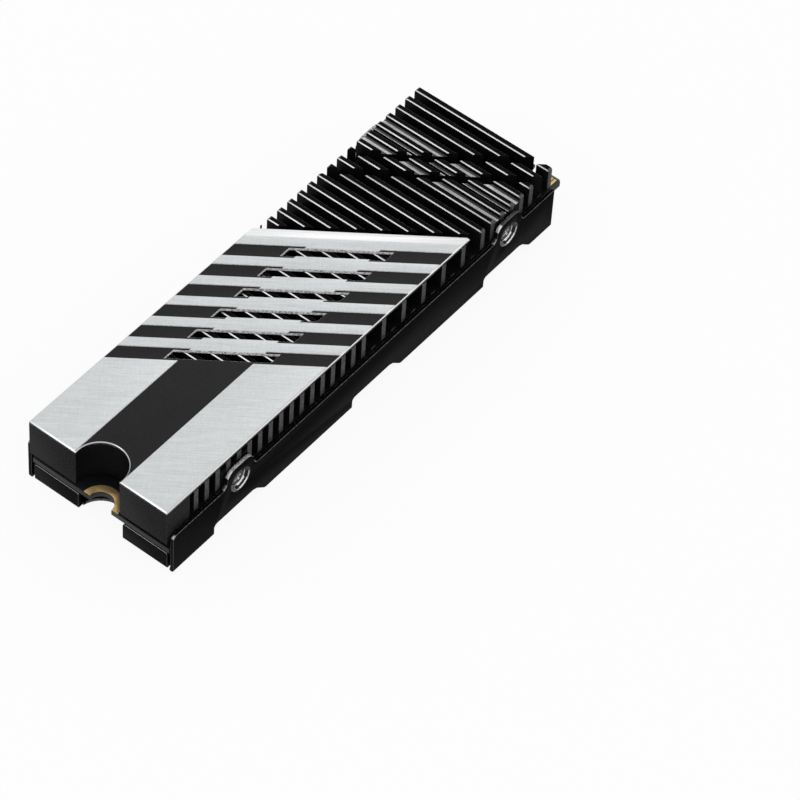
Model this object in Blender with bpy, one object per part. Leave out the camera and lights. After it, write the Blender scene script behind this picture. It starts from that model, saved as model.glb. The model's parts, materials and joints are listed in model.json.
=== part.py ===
"""Solid state drive in its heatsink: finned block, slotted plate, folded tray and the drive between them.

The length runs along X with the contact tongue at +X, the width along Y, and Z is up.
The origin is at the middle of the underside. All sizes are in metres.
"""

import math

import bmesh
import bpy

# The bare drive
BOARD_LENGTH = 0.080
BOARD_WIDTH = 0.022
BOARD_THICKNESS = 0.0008
TONGUE_LENGTH = 0.004
TONGUE_SHOULDER = 0.001075
TONGUE_CHAMFER = 0.0004
TONGUE_BEVEL_LENGTH = 0.0003
TONGUE_BEVEL_DEPTH = 0.00015
SHOULDER_RADIUS = 0.0004
KEY_OFFSET = 0.006125
KEY_WIDTH = 0.0012
KEY_DEPTH = 0.0035
NOTCH_RADIUS = 0.00175
RING_WIDTH = 0.0010
RING_SETBACK = 0.00005
PLATING = 0.00005
PLATING_ROOT = 0.0002
FINGER_PITCH = 0.0005
FINGER_WIDTH = 0.00035
FINGER_LENGTH = 0.0022
FINGER_SETBACK = 0.0005
FINGER_EDGE = 0.0006
FINGER_KEY_GAP = 0.00125
TOOLING_HOLE_RADIUS = 0.00045
TOOLING_HOLE_PITCH = 0.0020
TOOLING_HOLE_EDGE = 0.0015
TOOLING_HOLES = 3

# What is soldered to the board
CHIP_THICKNESS = 0.0010
CHIP_CHAMFER = 0.0001
CHIP_SPACING = 0.0020
PIN_MARK_RADIUS = 0.0004
PIN_MARK_DEPTH = 0.00005
PIN_MARK_SETBACK = 0.0010
MEMORY_SETBACK = 0.0060
MEMORY_EDGE = 0.0020
BUFFER_LENGTH = 0.0115
BUFFER_WIDTH = 0.0080
BUFFER_EDGE = 0.0009
CONTROLLER_EDGE = 0.0040
CONTROLLER_SETBACK = 0.0105
POWER_CHIP_SIZE = 0.0030
POWER_CHIP_THICKNESS = 0.0008
INDUCTOR_LENGTH = 0.0025
INDUCTOR_WIDTH = 0.0020
INDUCTOR_HEIGHT = 0.0009
INDUCTOR_SPACING = 0.0014
INDUCTOR_RADIUS = 0.0003
CRYSTAL_LENGTH = 0.0025
CRYSTAL_WIDTH = 0.0020
CRYSTAL_HEIGHT = 0.0006
CRYSTAL_RIM = 0.0002
CAPACITOR_LENGTH = 0.0016
CAPACITOR_WIDTH = 0.0008
CAPACITOR_HEIGHT = 0.0008
CAPACITOR_PITCH = 0.0040
CAPACITOR_CAP = 0.0003
CAPACITOR_WAIST = 0.00004
COUPLING_LENGTH = 0.0010
COUPLING_WIDTH = 0.0005
COUPLING_HEIGHT = 0.0005
COUPLING_PITCH = 0.0012
COUPLING_SETBACK = 0.0012
PART_EDGE = 0.0014
LABEL_THICKNESS = 0.0001
LABEL_MARGIN = 0.0008
LABEL_RADIUS = 0.0010

# Thermal pads
LOWER_PAD_THICKNESS = 0.0013
UPPER_PAD_THICKNESS = 0.0007
PAD_MARGIN = 0.00055
PAD_RADIUS = 0.0004
PAD_REAR_SETBACK = 0.0030

# Heatsink
BOARD_SETBACK = 0.0005
SHOULDER_MARGIN = 0.0003
HEATSINK_OVERHANG = 0.00005
OPENING_RADIUS = 0.00355
OPENING_BRIDGE = 0.0002
FIN_PITCH = 0.00201
FIN_THICKNESS = 0.0008
FIN_HEIGHT = 0.0035
FIN_STEP = 0.0003
FIN_CHAMFER = 0.00012
FIN_END_RADIUS = 0.0003
BASE_THICKNESS = 0.0009
RIM_DEPTH = 0.0008
RIM_WIDTH = 0.0026
BOSS_DROP = 0.0007
BOSS_GROOVE_WIDTH = 0.00035
BOSS_GROOVE_DEPTH = 0.0003
DIAGONAL_ANGLE = math.radians(37.6)
CHANNEL_WIDTH = 0.0012
CHANNEL_PITCH = 0.00423
CHANNEL_RISE = 0.0003
LAST_CHANNEL_INSET = 0.0070
PLATE_CHANNEL_REACH = 0.0015
PLATE_CHANNEL_COVER = 0.0010
SHORT_FINS_START = 0.0382
SHORT_FINS_END = 0.0182
SHORT_FIN_CUT = 0.0020

# Plate
PLATE_SETBACK = 0.0253
PLATE_THICKNESS = 0.0005
PLATE_CHAMFER = 0.0002
PLATE_BEVEL_LENGTH = 0.0020
PLATE_BEVEL_DROP = 0.00035
PLATE_TIP_CUT = 0.0005
STRIPE_COUNT = 6
STRIPE_PITCH = 0.00449
STRIPE_WIDTH = 0.00262
STRIPE_INSET = 0.0038
STRIPE_DEPTH = 0.0001
SLOT_WIDTH = 0.00178
SLOT_HALF_LENGTH = 0.00525
BAND_HALF_WIDTH = 0.0037

# Tray
TRAY_SHEET = 0.0005
TRAY_SETBACK = 0.00045
BEND_INNER_RADIUS = 0.0001
BEND_OUTER_RADIUS = 0.00025
BEND_RELIEF = 0.0002
WALL_HEIGHT = 0.0068
WALL_CORNER_RADIUS = 0.0008
TRAY_NOTCH_RADIUS = 0.0035
LIP_GAP = 0.0005
LIP_CORNER_RADIUS = 0.0004
EAR_HALF_WIDTH = 0.0025
EAR_RISE = 0.0030
EAR_CORNER_RADIUS = 0.0014
EAR_FILLET = 0.0010
DISH_RADIUS = 0.0018
DISH_INNER_RADIUS = 0.00135
DISH_DEPTH = 0.0010
SCALLOP_COUNT = 3
SCALLOP_SETBACK = 0.0082
SCALLOP_REAR_SETBACK = 0.0041
SCALLOP_LENGTH = 0.0103
SCALLOP_HEIGHT = 0.0018
SCALLOP_DEPTH = 0.0024
SCALLOP_FILLET = 0.0006
SCALLOP_RAMP = 0.0029

# Screws
FRONT_SCREW_INSET = 0.01305
REAR_SCREW_INSET = 0.00965
SCREW_LIFT = 0.0002
SCREW_HEAD_RADIUS = 0.00115
SCREW_HEAD_HEIGHT = 0.00045
SCREW_SHAFT_RADIUS = 0.0006
SCREW_LENGTH = 0.0018
SCREW_EDGE = 0.0001
CROSS_LENGTH = 0.0015
CROSS_WIDTH = 0.00035
CROSS_DEPTH = 0.0003

# Clearances
SEAT = 0.0001
SOLDER_GAP = 0.0001
SIDE_CLEARANCE = 0.0002
HOLE_CLEARANCE = 0.00015
OVERSHOOT = 0.001

# Steps of the round shapes
ARC_STEPS = 4
OPENING_STEPS = 20
CIRCLE_STEPS = 20

# Finishes: colour, roughness and metallic
BLACK_ANODISED = ((0.020, 0.020, 0.022), 0.42, 0.70)
BRUSHED = ((0.62, 0.63, 0.64), 0.34, 0.95)
BLACK_PAINT = ((0.016, 0.016, 0.018), 0.48, 0.20)
BLACK_STEEL = ((0.035, 0.035, 0.038), 0.32, 0.90)
BLUE_PAD = ((0.19, 0.24, 0.52), 0.62, 0.0)
GREY_PAD = ((0.30, 0.31, 0.33), 0.70, 0.0)
SOLDER_MASK = ((0.012, 0.014, 0.015), 0.36, 0.0)
MOULDING = ((0.030, 0.030, 0.033), 0.55, 0.0)
LABEL_FILM = ((0.040, 0.040, 0.042), 0.45, 0.0)
FERRITE = ((0.12, 0.12, 0.125), 0.60, 0.0)
CRYSTAL_CAN = ((0.66, 0.64, 0.60), 0.30, 0.95)
CERAMIC = ((0.42, 0.33, 0.24), 0.50, 0.0)

# Heights, from the tray's floor up
lower_pad_bottom = TRAY_SHEET + SEAT
lower_pad_top = lower_pad_bottom + LOWER_PAD_THICKNESS
board_bottom = lower_pad_top + SEAT + CHIP_THICKNESS + SOLDER_GAP
board_top = board_bottom + BOARD_THICKNESS
label_bottom = board_top + SOLDER_GAP + CHIP_THICKNESS + SEAT
upper_pad_bottom = label_bottom + LABEL_THICKNESS + SEAT
upper_pad_top = upper_pad_bottom + UPPER_PAD_THICKNESS
pocket_ceiling = upper_pad_top + SEAT
rim_bottom = pocket_ceiling - RIM_DEPTH
base_top = pocket_ceiling + BASE_THICKNESS
fin_top = base_top + FIN_HEIGHT
boss_top = fin_top - BOSS_DROP
channel_floor = base_top + CHANNEL_RISE
covered_top = fin_top + FIN_STEP
plate_bottom = covered_top + SEAT
plate_top = plate_bottom + PLATE_THICKNESS
lip_top = board_bottom - 2 * SEAT
screw_height = pocket_ceiling + SCREW_LIFT
ear_top = screw_height + EAR_RISE

# Places along X, and half widths
front = -(BOARD_SETBACK + BOARD_LENGTH) / 2
board_front = front + BOARD_SETBACK
board_tip = board_front + BOARD_LENGTH
board_shoulder = board_tip - TONGUE_LENGTH
heatsink_end = board_shoulder - SHOULDER_MARGIN
block_end = board_front + OPENING_RADIUS + OPENING_BRIDGE
tray_front = front + TRAY_SETBACK
plate_edge = heatsink_end - PLATE_SETBACK
board_half = BOARD_WIDTH / 2
heatsink_half = board_half + HEATSINK_OVERHANG
tray_inner = heatsink_half + SIDE_CLEARANCE
tray_half = tray_inner + TRAY_SHEET
tongue_half = board_half - TONGUE_SHOULDER
memory_half = board_half - MEMORY_EDGE
controller_half = board_half - CONTROLLER_EDGE
pocket_half = heatsink_half - RIM_WIDTH
skew = math.tan(DIAGONAL_ANGLE)

# The memory chips and the controller share the length that the row of chips leaves them
chips_start = board_front + MEMORY_SETBACK
chips_end = board_shoulder - CONTROLLER_SETBACK
chip_length = (chips_end - chips_start - BUFFER_LENGTH - 3 * CHIP_SPACING) / 3

# The row of fins, counted back from the heatsink's far end
usual_gap = FIN_PITCH - FIN_THICKNESS
fin_count = int((heatsink_end - block_end + usual_gap / 2) / FIN_PITCH)
first_fin = heatsink_end - FIN_THICKNESS - (fin_count - 1) * FIN_PITCH


def fin_start(index):
    return first_fin + index * FIN_PITCH


def gap_start(index):
    """Where the gap in front of a fin starts. The first gap starts at the solid front block."""
    return fin_start(index - 1) + FIN_THICKNESS if index else block_end


def gap_middle(index):
    return (gap_start(index) + fin_start(index)) / 2


def nearest_gap(place):
    return min(range(2, fin_count - 1), key=lambda index: abs(gap_middle(index) - place))


screw_rows = {"front": front + FRONT_SCREW_INSET, "rear": heatsink_end - REAR_SCREW_INSET}
screw_gaps = [nearest_gap(middle) for middle in screw_rows.values()]
boss_gaps = [index + offset for index in screw_gaps for offset in (-1, 0, 1)]
screw_sides = {"right": -1, "left": 1}

# The stripes, each given by where its near edge crosses the middle of the plate
first_stripe = plate_edge - STRIPE_INSET - STRIPE_WIDTH
stripes = [first_stripe - STRIPE_PITCH * index for index in range(STRIPE_COUNT)]
slot_margin = (STRIPE_WIDTH - SLOT_WIDTH) / 2


def clear_scene():
    for item in list(bpy.data.objects):
        bpy.data.objects.remove(item, do_unlink=True)


# Outlines

def rectangle(low_a, low_b, high_a, high_b):
    return [(low_a, low_b), (high_a, low_b), (high_a, high_b), (low_a, high_b)]


def arc(centre_a, centre_b, radius, start_degrees, end_degrees, steps=ARC_STEPS):
    sweep = end_degrees - start_degrees
    turns = [math.radians(start_degrees + sweep * step / steps) for step in range(steps + 1)]
    return [(centre_a + radius * math.cos(turn), centre_b + radius * math.sin(turn)) for turn in turns]


def circle(centre_a, centre_b, radius):
    return arc(centre_a, centre_b, radius, 0, 360, CIRCLE_STEPS)[:-1]


def rounded_rectangle(low_a, low_b, high_a, high_b, radius):
    return (
        arc(high_a - radius, low_b + radius, radius, -90, 0)
        + arc(high_a - radius, high_b - radius, radius, 0, 90)
        + arc(low_a + radius, high_b - radius, radius, 90, 180)
        + arc(low_a + radius, low_b + radius, radius, 180, 270)
    )


def ramp(start_a, start_b, end_a, end_b):
    """A soft S-shaped rise or fall between two points."""
    run = end_a - start_a
    rise = end_b - start_b
    shares = [step / ARC_STEPS for step in range(ARC_STEPS + 1)]
    return [(start_a + run * share, start_b + rise * (1 - math.cos(math.pi * share)) / 2) for share in shares]


def front_notch(radius):
    """A half-round opening around the screw notch, run out past the front."""
    ahead = front - OVERSHOOT
    return arc(board_front, 0, radius, 90, -90, OPENING_STEPS) + [(ahead, -radius), (ahead, radius)]


# Solids

AXES = {
    "X": lambda place, a, b: (place, a, b),
    "Y": lambda place, a, b: (a, place, b),
    "Z": lambda place, a, b: (a, b, place),
}


def make_material(name, finish):
    colour, roughness, metallic = finish
    material = bpy.data.materials.new(name)
    material.use_nodes = True
    shader = material.node_tree.nodes["Principled BSDF"]
    shader.inputs["Base Color"].default_value = (*colour, 1.0)
    shader.inputs["Roughness"].default_value = roughness
    shader.inputs["Metallic"].default_value = metallic
    material.diffuse_color = (*colour, 1.0)
    return material


def finished_object(name, builder, finish=None):
    mesh = bpy.data.meshes.new(name)
    bmesh.ops.recalc_face_normals(builder, faces=builder.faces)
    builder.to_mesh(mesh)
    builder.free()
    item = bpy.data.objects.new(name, mesh)
    bpy.context.scene.collection.objects.link(item)
    if finish:
        mesh.materials.append(make_material(name, finish))
    return item


def add_layers(builder, outlines):
    """Close a skin over rings of points that all have the same number of corners."""
    rings = [[builder.verts.new(point) for point in outline] for outline in outlines]
    for lower, upper in zip(rings, rings[1:]):
        for index, corner in enumerate(lower):
            following = (index + 1) % len(lower)
            builder.faces.new((corner, lower[following], upper[following], upper[index]))
    builder.faces.new(rings[0])
    builder.faces.new(rings[-1])


def layers(name, outlines, finish=None):
    builder = bmesh.new()
    add_layers(builder, outlines)
    return finished_object(name, builder, finish)


def stretches(name, shapes, axis, finish=None):
    """Extrude outlines along an axis: (x, y) outlines along Z, (x, z) along Y and (y, z) along X."""
    place = AXES[axis]
    builder = bmesh.new()
    for outline, start, end in shapes:
        add_layers(builder, [[place(level, a, b) for a, b in outline] for level in (start, end)])
    return finished_object(name, builder, finish)


def prisms(name, outlines, axis, start, end, finish=None):
    return stretches(name, [(outline, start, end) for outline in outlines], axis, finish)


def prism(name, outline, axis, start, end, finish=None):
    return prisms(name, [outline], axis, start, end, finish)


def diagonals(name, profiles, start, end):
    """Extrude (x, z) outlines along the plate's slanted edge, from one Y to another."""
    builder = bmesh.new()
    for profile in profiles:
        add_layers(builder, [[(x - skew * y, y, z) for x, z in profile] for y in (start, end)])
    return finished_object(name, builder)


def side_frustum(name, middle, height, start, start_radius, end, end_radius):
    """A cone or cylinder that lies along Y."""
    builder = bmesh.new()
    ends = ((start, start_radius), (end, end_radius))
    add_layers(builder, [[(x, y, z) for x, z in circle(middle, height, radius)] for y, radius in ends])
    return finished_object(name, builder)


def use_tool(target, operation, tool):
    tool.hide_render = True
    tool.display_type = "WIRE"
    change = target.modifiers.new(tool.name, "BOOLEAN")
    change.operation = operation
    change.solver = "EXACT"
    change.object = tool


def cut(target, tool):
    use_tool(target, "DIFFERENCE", tool)


def join(target, tool):
    use_tool(target, "UNION", tool)


def shade_round(item):
    item.data.shade_smooth()
    item.data.set_sharp_from_angle(angle=math.radians(30))


# Heatsink

def gap_profile(index):
    floor = boss_top if index in boss_gaps else base_top
    return rectangle(gap_start(index), floor, fin_start(index), covered_top + OVERSHOOT)


def mouth_profile(index, top):
    """The widening at the top of a gap, where the fins beside it are chamfered."""
    start = gap_start(index)
    end = fin_start(index)
    wide_start = start - FIN_CHAMFER
    wide_end = end + FIN_CHAMFER
    shoulder = top - FIN_CHAMFER
    above = top + OVERSHOOT
    lower = [(start, shoulder), (end, shoulder), (wide_end, top), (wide_end, above)]
    return lower + [(wide_start, above), (wide_start, top)]


def bare_mouths(reach):
    """The mouths behind the plate's slanted edge, each with the stretch of Y that the plate leaves bare."""
    crossings = [(index, (plate_edge - gap_middle(index)) / skew) for index in range(fin_count)]
    return [
        (mouth_profile(index, fin_top), max(crossing, -reach), reach)
        for index, crossing in crossings
        if crossing < heatsink_half
    ]


def fin_end_profile(sign, reach):
    """What is cut off to round the upper corner of the bare fins' ends."""
    radius = FIN_END_RADIUS
    inner = heatsink_half - radius
    low = fin_top - radius
    above = fin_top + OVERSHOOT
    corner = arc(inner, low, radius, 0, 90, 2) + [(inner, above), (reach, above), (reach, low)]
    return [(sign * y, z) for y, z in corner]


def make_heatsink():
    half = heatsink_half
    reach = half + OVERSHOOT
    above = covered_top + OVERSHOOT
    section = rectangle(-half, rim_bottom, half, covered_top)
    heatsink = prism("finned_heatsink", section, "X", front, heatsink_end, BLACK_ANODISED)

    behind = heatsink_end + OVERSHOOT
    step = rectangle(plate_edge, fin_top, behind + skew * reach, above)
    cut(heatsink, diagonals("fin_step_cutter", [step], -reach, reach))
    ends = [(fin_end_profile(sign, reach), plate_edge - sign * skew * half, behind) for sign in (-1, 1)]
    cut(heatsink, stretches("fin_end_cutter", ends, "X"))
    gaps = [gap_profile(index) for index in range(fin_count)]
    cut(heatsink, prisms("fin_gap_cutter", gaps, "Y", -reach, reach))
    mouths = [mouth_profile(index, covered_top) for index in range(fin_count)]
    cut(heatsink, prisms("covered_mouth_cutter", mouths, "Y", -reach, reach))
    cut(heatsink, stretches("bare_mouth_cutter", bare_mouths(reach), "Y"))

    half_groove = BOSS_GROOVE_WIDTH / 2
    groove_floor = boss_top - BOSS_GROOVE_DEPTH
    grooves = [
        rectangle(middle - half_groove, groove_floor, middle + half_groove, fin_top - FIN_CHAMFER)
        for middle in (gap_middle(index) for index in screw_gaps)
    ]
    cut(heatsink, prisms("boss_groove_cutter", grooves, "Y", -reach, reach))

    half_channel = CHANNEL_WIDTH / math.cos(DIAGONAL_ANGLE) / 2
    last_channel = heatsink_end - LAST_CHANNEL_INSET
    channels = [
        rectangle(middle - half_channel, channel_floor, middle + half_channel, above)
        for middle in (last_channel - CHANNEL_PITCH, last_channel)
    ]
    channels.append(
        rectangle(plate_edge - PLATE_CHANNEL_COVER, channel_floor, plate_edge + PLATE_CHANNEL_REACH, above)
    )
    cut(heatsink, diagonals("channel_cutter", channels, -reach, reach))

    half_gap = usual_gap / 2
    short_fins = [
        rectangle(start - half_gap, -reach, start + FIN_THICKNESS + half_gap, SHORT_FIN_CUT - half)
        for start in (fin_start(index) for index in range(1, fin_count, 2))
        if SHORT_FINS_END < heatsink_end - start < SHORT_FINS_START
    ]
    cut(heatsink, prisms("short_fin_cutter", short_fins, "Z", channel_floor, above))

    pocket = rectangle(block_end, -pocket_half, heatsink_end - RIM_WIDTH, pocket_half)
    cut(heatsink, prism("pocket_cutter", pocket, "Z", rim_bottom - OVERSHOOT, pocket_ceiling))
    cut(heatsink, prism("opening_cutter", front_notch(OPENING_RADIUS), "Z", rim_bottom - OVERSHOOT, above))

    hole_radius = SCREW_SHAFT_RADIUS + HOLE_CLEARANCE
    hole_end = half - SCREW_LENGTH - OVERSHOOT
    seat_start = half + SIDE_CLEARANCE
    seat_end = seat_start - DISH_DEPTH - SEAT
    for row, middle in screw_rows.items():
        for side, sign in screw_sides.items():
            hole = side_frustum(
                f"hole_cutter_{row}_{side}", middle, screw_height,
                sign * hole_end, hole_radius, sign * reach, hole_radius,
            )
            cut(heatsink, hole)
            seat = side_frustum(
                f"seat_cutter_{row}_{side}", middle, screw_height,
                sign * seat_end, DISH_INNER_RADIUS + SEAT, sign * seat_start, DISH_RADIUS + SEAT,
            )
            cut(heatsink, seat)


# Plate

def plate_outline(inset):
    """The plate's outline, with every edge moved inwards by the same distance."""
    start = front + inset
    half = heatsink_half - inset
    edge = plate_edge - inset / math.cos(DIAGONAL_ANGLE)
    radius = OPENING_RADIUS + inset
    reach = math.degrees(math.acos((start - board_front) / radius))
    tip = edge + skew * half
    tip_cut = [(tip - PLATE_TIP_CUT, -half), (tip - skew * PLATE_TIP_CUT, PLATE_TIP_CUT - half)]
    corners = [(start, -half), *tip_cut, (edge - skew * half, half), (start, half)]
    return corners + arc(board_front, 0, radius, reach, -reach, OPENING_STEPS)


def make_plate():
    levels = ((0, plate_bottom), (0, plate_top - PLATE_CHAMFER), (PLATE_CHAMFER, plate_top))
    rings = [[(x, y, height) for x, y in plate_outline(inset)] for inset, height in levels]
    plate = layers("top_plate", rings, BRUSHED)
    reach = heatsink_half + OVERSHOOT
    above = plate_top + OVERSHOOT
    bevel_start = plate_edge - PLATE_BEVEL_LENGTH
    bevel_end = plate_edge + OVERSHOOT
    bevel_floor = plate_top - PLATE_BEVEL_DROP * (1 + OVERSHOOT / PLATE_BEVEL_LENGTH)
    bevel = [(bevel_start, plate_top), (bevel_end, bevel_floor), (bevel_end, above), (bevel_start, above)]
    cut(plate, diagonals("plate_bevel_cutter", [bevel], -reach, reach))

    floor = plate_top - STRIPE_DEPTH
    recesses = [rectangle(start, floor, start + STRIPE_WIDTH, above) for start in stripes]
    cut(plate, diagonals("right_stripe_cutter", recesses, -reach, -BAND_HALF_WIDTH))
    cut(plate, diagonals("left_stripe_cutter", recesses, BAND_HALF_WIDTH, reach))
    slots = [
        rectangle(start + slot_margin, plate_bottom - OVERSHOOT, start + slot_margin + SLOT_WIDTH, above)
        for start in stripes
    ]
    cut(plate, diagonals("slot_cutter", slots, -SLOT_HALF_LENGTH, SLOT_HALF_LENGTH))

    band_end = stripes[-1] + slot_margin
    slant = skew * BAND_HALF_WIDTH
    ahead = front - OVERSHOOT
    band = [
        (ahead, -BAND_HALF_WIDTH), (band_end + slant, -BAND_HALF_WIDTH),
        (band_end - slant, BAND_HALF_WIDTH), (ahead, BAND_HALF_WIDTH),
    ]
    cut(plate, prism("band_cutter", band, "Z", floor, above))


# Tray

def tray_section():
    outer = BEND_OUTER_RADIUS
    inner = BEND_INNER_RADIUS
    bend = TRAY_SHEET + inner
    top = ear_top + OVERSHOOT
    return (
        [(-tray_half, top)]
        + arc(outer - tray_half, outer, outer, 180, 270)
        + arc(tray_half - outer, outer, outer, 270, 360)
        + [(tray_half, top), (tray_inner, top)]
        + arc(tray_inner - inner, bend, inner, 0, -90)
        + arc(inner - tray_inner, bend, inner, -90, -180)
        + [(-tray_inner, top)]
    )


def above_walls():
    """Everything above the side walls' top edge, which rises to an ear at each screw."""
    corner = WALL_CORNER_RADIUS
    edge = arc(tray_front + corner, WALL_HEIGHT - corner, corner, 180, 90)
    for middle in screw_rows.values():
        near = middle - EAR_HALF_WIDTH
        far = middle + EAR_HALF_WIDTH
        round_height = ear_top - EAR_CORNER_RADIUS
        edge += arc(near - EAR_FILLET, WALL_HEIGHT + EAR_FILLET, EAR_FILLET, -90, 0)
        edge += arc(near + EAR_CORNER_RADIUS, round_height, EAR_CORNER_RADIUS, 180, 90)
        edge += arc(far - EAR_CORNER_RADIUS, round_height, EAR_CORNER_RADIUS, 90, 0)
        edge += arc(far + EAR_FILLET, WALL_HEIGHT + EAR_FILLET, EAR_FILLET, 180, 270)
    behind = heatsink_end + OVERSHOOT
    ahead = tray_front - OVERSHOOT
    above = ear_top + 2 * OVERSHOOT
    return edge + [(behind, WALL_HEIGHT), (behind, above), (ahead, above), (ahead, WALL_HEIGHT - corner)]


def scallop(start):
    """A raised stretch of the walls' lower edge, with an upright near end and a long far end."""
    end = start + SCALLOP_LENGTH
    return (
        [(start, -OVERSHOOT)]
        + arc(start + SCALLOP_FILLET, SCALLOP_HEIGHT - SCALLOP_FILLET, SCALLOP_FILLET, 180, 90)
        + ramp(end - SCALLOP_RAMP, SCALLOP_HEIGHT, end, 0)
        + [(end, -OVERSHOOT)]
    )


def lip_profile():
    """The front lip, folded up from the floor."""
    outer = BEND_OUTER_RADIUS
    inner = BEND_INNER_RADIUS
    back = tray_front + TRAY_SHEET
    root = back + 2 * TRAY_SHEET
    return (
        [(root, 0)]
        + arc(tray_front + outer, outer, outer, 270, 180)
        + [(tray_front, lip_top), (back, lip_top)]
        + arc(back + inner, TRAY_SHEET + inner, inner, 180, 270)
        + [(root, TRAY_SHEET)]
    )


def lip_corner(low_y, high_y):
    """What is cut off above a lip to round its two top corners."""
    corner = LIP_CORNER_RADIUS
    above = lip_top + OVERSHOOT
    height = lip_top - corner
    beyond = high_y + corner
    before = low_y - corner
    return (
        arc(low_y + corner, height, corner, 180, 90)
        + arc(high_y - corner, height, corner, 90, 0)
        + [(beyond, height), (beyond, above), (before, above), (before, height)]
    )


def make_tray():
    tray = prism("base_tray", tray_section(), "X", tray_front, heatsink_end, BLACK_PAINT)
    reach = tray_half + OVERSHOOT
    cut(tray, prism("wall_top_cutter", above_walls(), "Y", -reach, reach))

    ahead = tray_front - OVERSHOOT
    relief_end = tray_front + TRAY_SHEET + BEND_INNER_RADIUS + BEND_RELIEF
    relief_half = tray_inner - BEND_INNER_RADIUS
    relief = rectangle(ahead, -relief_half, relief_end, relief_half)
    cut(tray, prism("relief_cutter", relief, "Z", -OVERSHOOT, lip_top))
    low_y = TRAY_NOTCH_RADIUS + SEAT
    high_y = tray_inner - LIP_GAP
    for side, sign in screw_sides.items():
        lip = prism(f"{side}_lip", lip_profile(), "Y", sign * low_y, sign * high_y)
        join(tray, lip)
        corners = [(sign * y, z) for y, z in lip_corner(low_y, high_y)]
        cut(tray, prism(f"{side}_lip_corner_cutter", corners, "X", ahead, relief_end))
    cut(tray, prism("floor_notch_cutter", front_notch(TRAY_NOTCH_RADIUS), "Z", -OVERSHOOT, lip_top))

    first_scallop = front + SCALLOP_SETBACK
    last_scallop = heatsink_end - SCALLOP_REAR_SETBACK - SCALLOP_LENGTH
    pitch = (last_scallop - first_scallop) / (SCALLOP_COUNT - 1)
    scallops = [scallop(first_scallop + pitch * index) for index in range(SCALLOP_COUNT)]
    for side, sign in screw_sides.items():
        inner = sign * (tray_half - SCALLOP_DEPTH)
        cut(tray, prisms(f"{side}_scallop_cutter", scallops, "Y", inner, sign * reach))

    hole_radius = SCREW_SHAFT_RADIUS + HOLE_CLEARANCE
    for row, middle in screw_rows.items():
        for side, sign in screw_sides.items():
            label = f"{row}_{side}"
            dish_end = sign * (tray_inner - DISH_DEPTH)
            bulge = side_frustum(
                f"dish_{label}", middle, screw_height,
                sign * tray_inner, DISH_RADIUS, dish_end, DISH_INNER_RADIUS,
            )
            join(tray, bulge)
            hollow = side_frustum(
                f"dish_cutter_{label}", middle, screw_height,
                sign * tray_half, DISH_RADIUS, sign * (tray_half - DISH_DEPTH), DISH_INNER_RADIUS,
            )
            cut(tray, hollow)
            hole = side_frustum(
                f"ear_hole_cutter_{label}", middle, screw_height, sign * reach, hole_radius,
                sign * (tray_inner - 2 * DISH_DEPTH), hole_radius,
            )
            cut(tray, hole)


# Screws

def screw_levels():
    """Radius and height of each ring, from the tip to the top of the head."""
    return [
        (SCREW_SHAFT_RADIUS - 2 * SCREW_EDGE, -SCREW_LENGTH),
        (SCREW_SHAFT_RADIUS, 2 * SCREW_EDGE - SCREW_LENGTH),
        (SCREW_SHAFT_RADIUS, 0),
        (SCREW_HEAD_RADIUS, 0),
        (SCREW_HEAD_RADIUS, SCREW_HEAD_HEIGHT - SCREW_EDGE),
        (SCREW_HEAD_RADIUS - SCREW_EDGE, SCREW_HEAD_HEIGHT),
    ]


def cross_outline():
    reach = CROSS_LENGTH / 2
    half = CROSS_WIDTH / 2
    quarter = [(half, half), (half, reach), (-half, reach)]
    turns = [(1, 0), (0, 1), (-1, 0), (0, -1)]
    return [(x * c - y * s, x * s + y * c) for c, s in turns for x, y in quarter]


def make_screws():
    head_seat = tray_half - DISH_DEPTH + SEAT
    low = SCREW_HEAD_HEIGHT - CROSS_DEPTH
    high = SCREW_HEAD_HEIGHT + OVERSHOOT
    for row, middle in screw_rows.items():
        for side, sign in screw_sides.items():
            rings = [[(x, y, height) for x, y in circle(0, 0, radius)] for radius, height in screw_levels()]
            screw = layers(f"screw_{row}_{side}", rings, BLACK_STEEL)
            shade_round(screw)
            cross = prism(f"cross_cutter_{row}_{side}", cross_outline(), "Z", low, high)
            for item in (screw, cross):
                item.location = (middle, sign * head_seat, screw_height)
                item.rotation_euler = (math.radians(-90 * sign), 0, 0)
            cut(screw, cross)


# Board

def board_outline():
    tongue = tongue_half
    chamfer = TONGUE_CHAMFER
    half_key = KEY_WIDTH / 2
    fillet = SHOULDER_RADIUS
    key_end = board_tip - KEY_DEPTH + half_key
    key_near = -KEY_OFFSET - half_key
    return (
        [(board_front, -board_half), (board_shoulder, -board_half)]
        + arc(board_shoulder + fillet, -tongue - fillet, fillet, 180, 90)
        + [(board_tip - chamfer, -tongue), (board_tip, chamfer - tongue), (board_tip, key_near)]
        + arc(key_end, -KEY_OFFSET, half_key, 270, 90)
        + [(board_tip, half_key - KEY_OFFSET), (board_tip, tongue - chamfer), (board_tip - chamfer, tongue)]
        + arc(board_shoulder + fillet, tongue + fillet, fillet, 270, 180)
        + [(board_shoulder, board_half), (board_front, board_half)]
    )


def finger_outlines(shift):
    """As many contact fingers as fit on each side of the key slot. The two faces are half a step apart."""
    end = board_tip - FINGER_SETBACK
    middle = shift - KEY_OFFSET
    reach = tongue_half - FINGER_EDGE
    rows = []
    for sign in (1, -1):
        room = reach - sign * middle - FINGER_KEY_GAP
        count = 1 + int(room / FINGER_PITCH)
        rows += [middle + sign * (FINGER_KEY_GAP + index * FINGER_PITCH) for index in range(count)]
    half = FINGER_WIDTH / 2
    return [rectangle(end - FINGER_LENGTH, row - half, end, row + half) for row in rows]


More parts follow.
